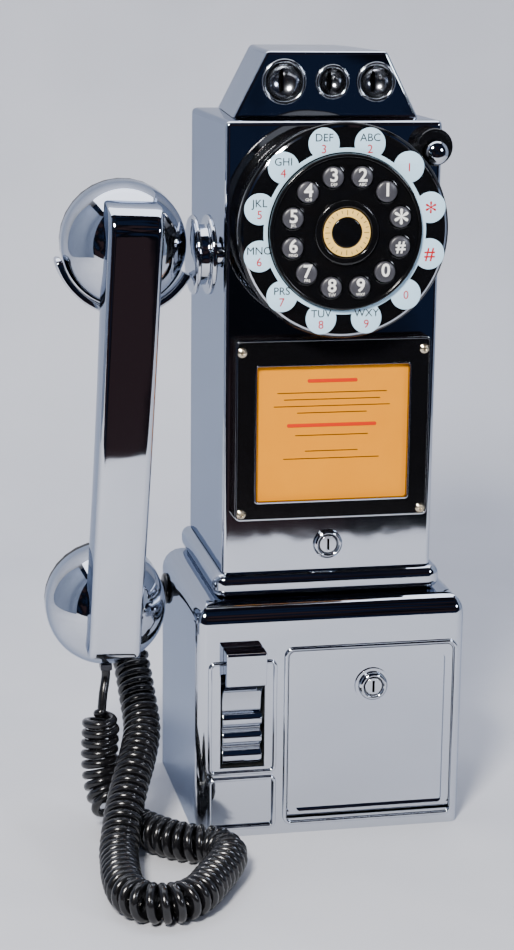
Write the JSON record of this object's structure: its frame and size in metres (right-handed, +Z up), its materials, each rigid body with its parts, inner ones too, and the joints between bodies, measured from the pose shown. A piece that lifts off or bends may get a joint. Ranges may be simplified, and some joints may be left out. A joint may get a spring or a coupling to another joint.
{
  "type": "payphone",
  "caption": "Wall or table payphone: chromed vault and upper housing, coin head, push-button dial, side hook and a handset on a curly cord.",
  "frame": {"origin": "middle of the flat underside of the vault's base", "axes": "+Z up, the front with the dial faces -Y, the wall face is at +Y, and the handset hangs on the -X side"},
  "size_m": [0.2481, 0.2536, 0.4648],
  "materials": {
    "chromed_plastic": "mirror-bright chrome plating over ABS",
    "zinc_steel": "zinc plated",
    "brass": "polished",
    "gloss_black": "gloss",
    "key_grey": "satin",
    "pale_blue": "satin print",
    "cream": "satin",
    "yellow_card": "matt card",
    "circuit_board": "lacquered",
    "black_cord": "gloss"
  },
  "bodies": {
    "root": {"back_plate": "zinc_steel", "base_plate": "zinc_steel", "vault_housing": "chromed_plastic", "upper_housing": "chromed_plastic", "foot_moulding": "chromed_plastic", "coin_head": "chromed_plastic", "coin_cup_left": "chromed_plastic", "coin_cup_middle": "chromed_plastic", "coin_cup_right": "chromed_plastic", "coin_chute": "zinc_steel", "coin_box": "zinc_steel", "dial_plinth": "gloss_black", "number_plate": "pale_blue", "keypad_disc": "gloss_black", "centre_hub": "gloss_black", "centre_label": "cream", "keypad_board": "circuit_board", "card_frame": "gloss_black", "instruction_card": "yellow_card", "card_screw_1": "brass", "card_screw_2": "brass", "card_screw_3": "brass", "card_screw_4": "brass", "upper_lock_barrel": "chromed_plastic", "redial_ring": "gloss_black", "door_hinge_pin": "zinc_steel", "coin_return_bracket": "zinc_steel", "hook_bracket": "zinc_steel", "hookswitch": "gloss_black", "cord_gland": "black_cord", "main_board": "circuit_board", "cord_gland_lead": "black_cord", "cord_coil_floor": "black_cord", "cord_coil_hanging": "black_cord"},
    "handset": {"handset_body": "chromed_plastic", "ear_cap": "gloss_black", "mouth_cap": "gloss_black", "cord_plug": "key_grey", "cord_handset_lead": "black_cord"},
    "hook": {"hook_hub": "chromed_plastic", "hook_arm": "chromed_plastic", "hook_cradle": "chromed_plastic"},
    "door": {"vault_door": "chromed_plastic", "door_lock_barrel": "chromed_plastic"},
    "door_lock": {"door_lock_plug": "chromed_plastic"},
    "upper_lock": {"upper_lock_plug": "chromed_plastic"},
    "coin_return": {"coin_return_lever": "chromed_plastic"},
    "redial": {"redial_button": "chromed_plastic"},
    "button_1": {"key_1": "key_grey"},
    "button_2": {"key_2": "key_grey"},
    "button_3": {"key_3": "key_grey"},
    "button_4": {"key_4": "key_grey"},
    "button_5": {"key_5": "key_grey"},
    "button_6": {"key_6": "key_grey"},
    "button_7": {"key_7": "key_grey"},
    "button_8": {"key_8": "key_grey"},
    "button_9": {"key_9": "key_grey"},
    "button_star": {"key_star": "key_grey"},
    "button_0": {"key_0": "key_grey"},
    "button_hash": {"key_hash": "key_grey"}
  },
  "joints": [
    {"name": "handset_lift", "type": "slide", "parent": "root", "child": "handset", "axis": [0, 0, 1], "range_m": [0, 0.06]},
    {"name": "hook_rise", "type": "hinge", "parent": "root", "child": "hook", "pos_m": [-0.036, -0.036, 0.3495], "axis": [0, 1, 0], "range_deg": [0, 5]},
    {"name": "door_open", "type": "hinge", "parent": "root", "child": "door", "pos_m": [0, -0.0619, 0.0131], "axis": [1, 0, 0], "range_deg": [0, 85]},
    {"name": "door_lock_turn", "type": "hinge", "parent": "door", "child": "door_lock", "pos_m": [0.0254, -0.065, 0.0914], "axis": [0, 1, 0], "range_deg": [0, 90]},
    {"name": "upper_lock_turn", "type": "hinge", "parent": "root", "child": "upper_lock", "pos_m": [0, -0.047, 0.1762], "axis": [0, 1, 0], "range_deg": [0, 90]},
    {"name": "coin_return_push", "type": "hinge", "parent": "root", "child": "coin_return", "pos_m": [-0.0543, -0.055, 0.095], "axis": [1, 0, 0], "range_deg": [0, 15], "stiffness_Nm_per_rad": 0.05, "springref_deg": -28.65},
    {"name": "redial_press", "type": "slide", "parent": "root", "child": "redial", "axis": [0, 1, 0], "range_m": [0, 0.002], "stiffness_N_per_m": 400},
    {"name": "button_1_press", "type": "slide", "parent": "root", "child": "button_1", "axis": [0, 1, 0], "range_m": [0, 0.0015], "stiffness_N_per_m": 400},
    {"name": "button_2_press", "type": "slide", "parent": "root", "child": "button_2", "axis": [0, 1, 0], "range_m": [0, 0.0015], "stiffness_N_per_m": 400},
    {"name": "button_3_press", "type": "slide", "parent": "root", "child": "button_3", "axis": [0, 1, 0], "range_m": [0, 0.0015], "stiffness_N_per_m": 400},
    {"name": "button_4_press", "type": "slide", "parent": "root", "child": "button_4", "axis": [0, 1, 0], "range_m": [0, 0.0015], "stiffness_N_per_m": 400},
    {"name": "button_5_press", "type": "slide", "parent": "root", "child": "button_5", "axis": [0, 1, 0], "range_m": [0, 0.0015], "stiffness_N_per_m": 400},
    {"name": "button_6_press", "type": "slide", "parent": "root", "child": "button_6", "axis": [0, 1, 0], "range_m": [0, 0.0015], "stiffness_N_per_m": 400},
    {"name": "button_7_press", "type": "slide", "parent": "root", "child": "button_7", "axis": [0, 1, 0], "range_m": [0, 0.0015], "stiffness_N_per_m": 400},
    {"name": "button_8_press", "type": "slide", "parent": "root", "child": "button_8", "axis": [0, 1, 0], "range_m": [0, 0.0015], "stiffness_N_per_m": 400},
    {"name": "button_9_press", "type": "slide", "parent": "root", "child": "button_9", "axis": [0, 1, 0], "range_m": [0, 0.0015], "stiffness_N_per_m": 400},
    {"name": "button_star_press", "type": "slide", "parent": "root", "child": "button_star", "axis": [0, 1, 0], "range_m": [0, 0.0015], "stiffness_N_per_m": 400},
    {"name": "button_0_press", "type": "slide", "parent": "root", "child": "button_0", "axis": [0, 1, 0], "range_m": [0, 0.0015], "stiffness_N_per_m": 400},
    {"name": "button_hash_press", "type": "slide", "parent": "root", "child": "button_hash", "axis": [0, 1, 0], "range_m": [0, 0.0015], "stiffness_N_per_m": 400}
  ],
  "couplings": [
    {"joint": "hook_rise", "follows": "handset_lift", "rad_per_m": 1.4544}
  ]
}
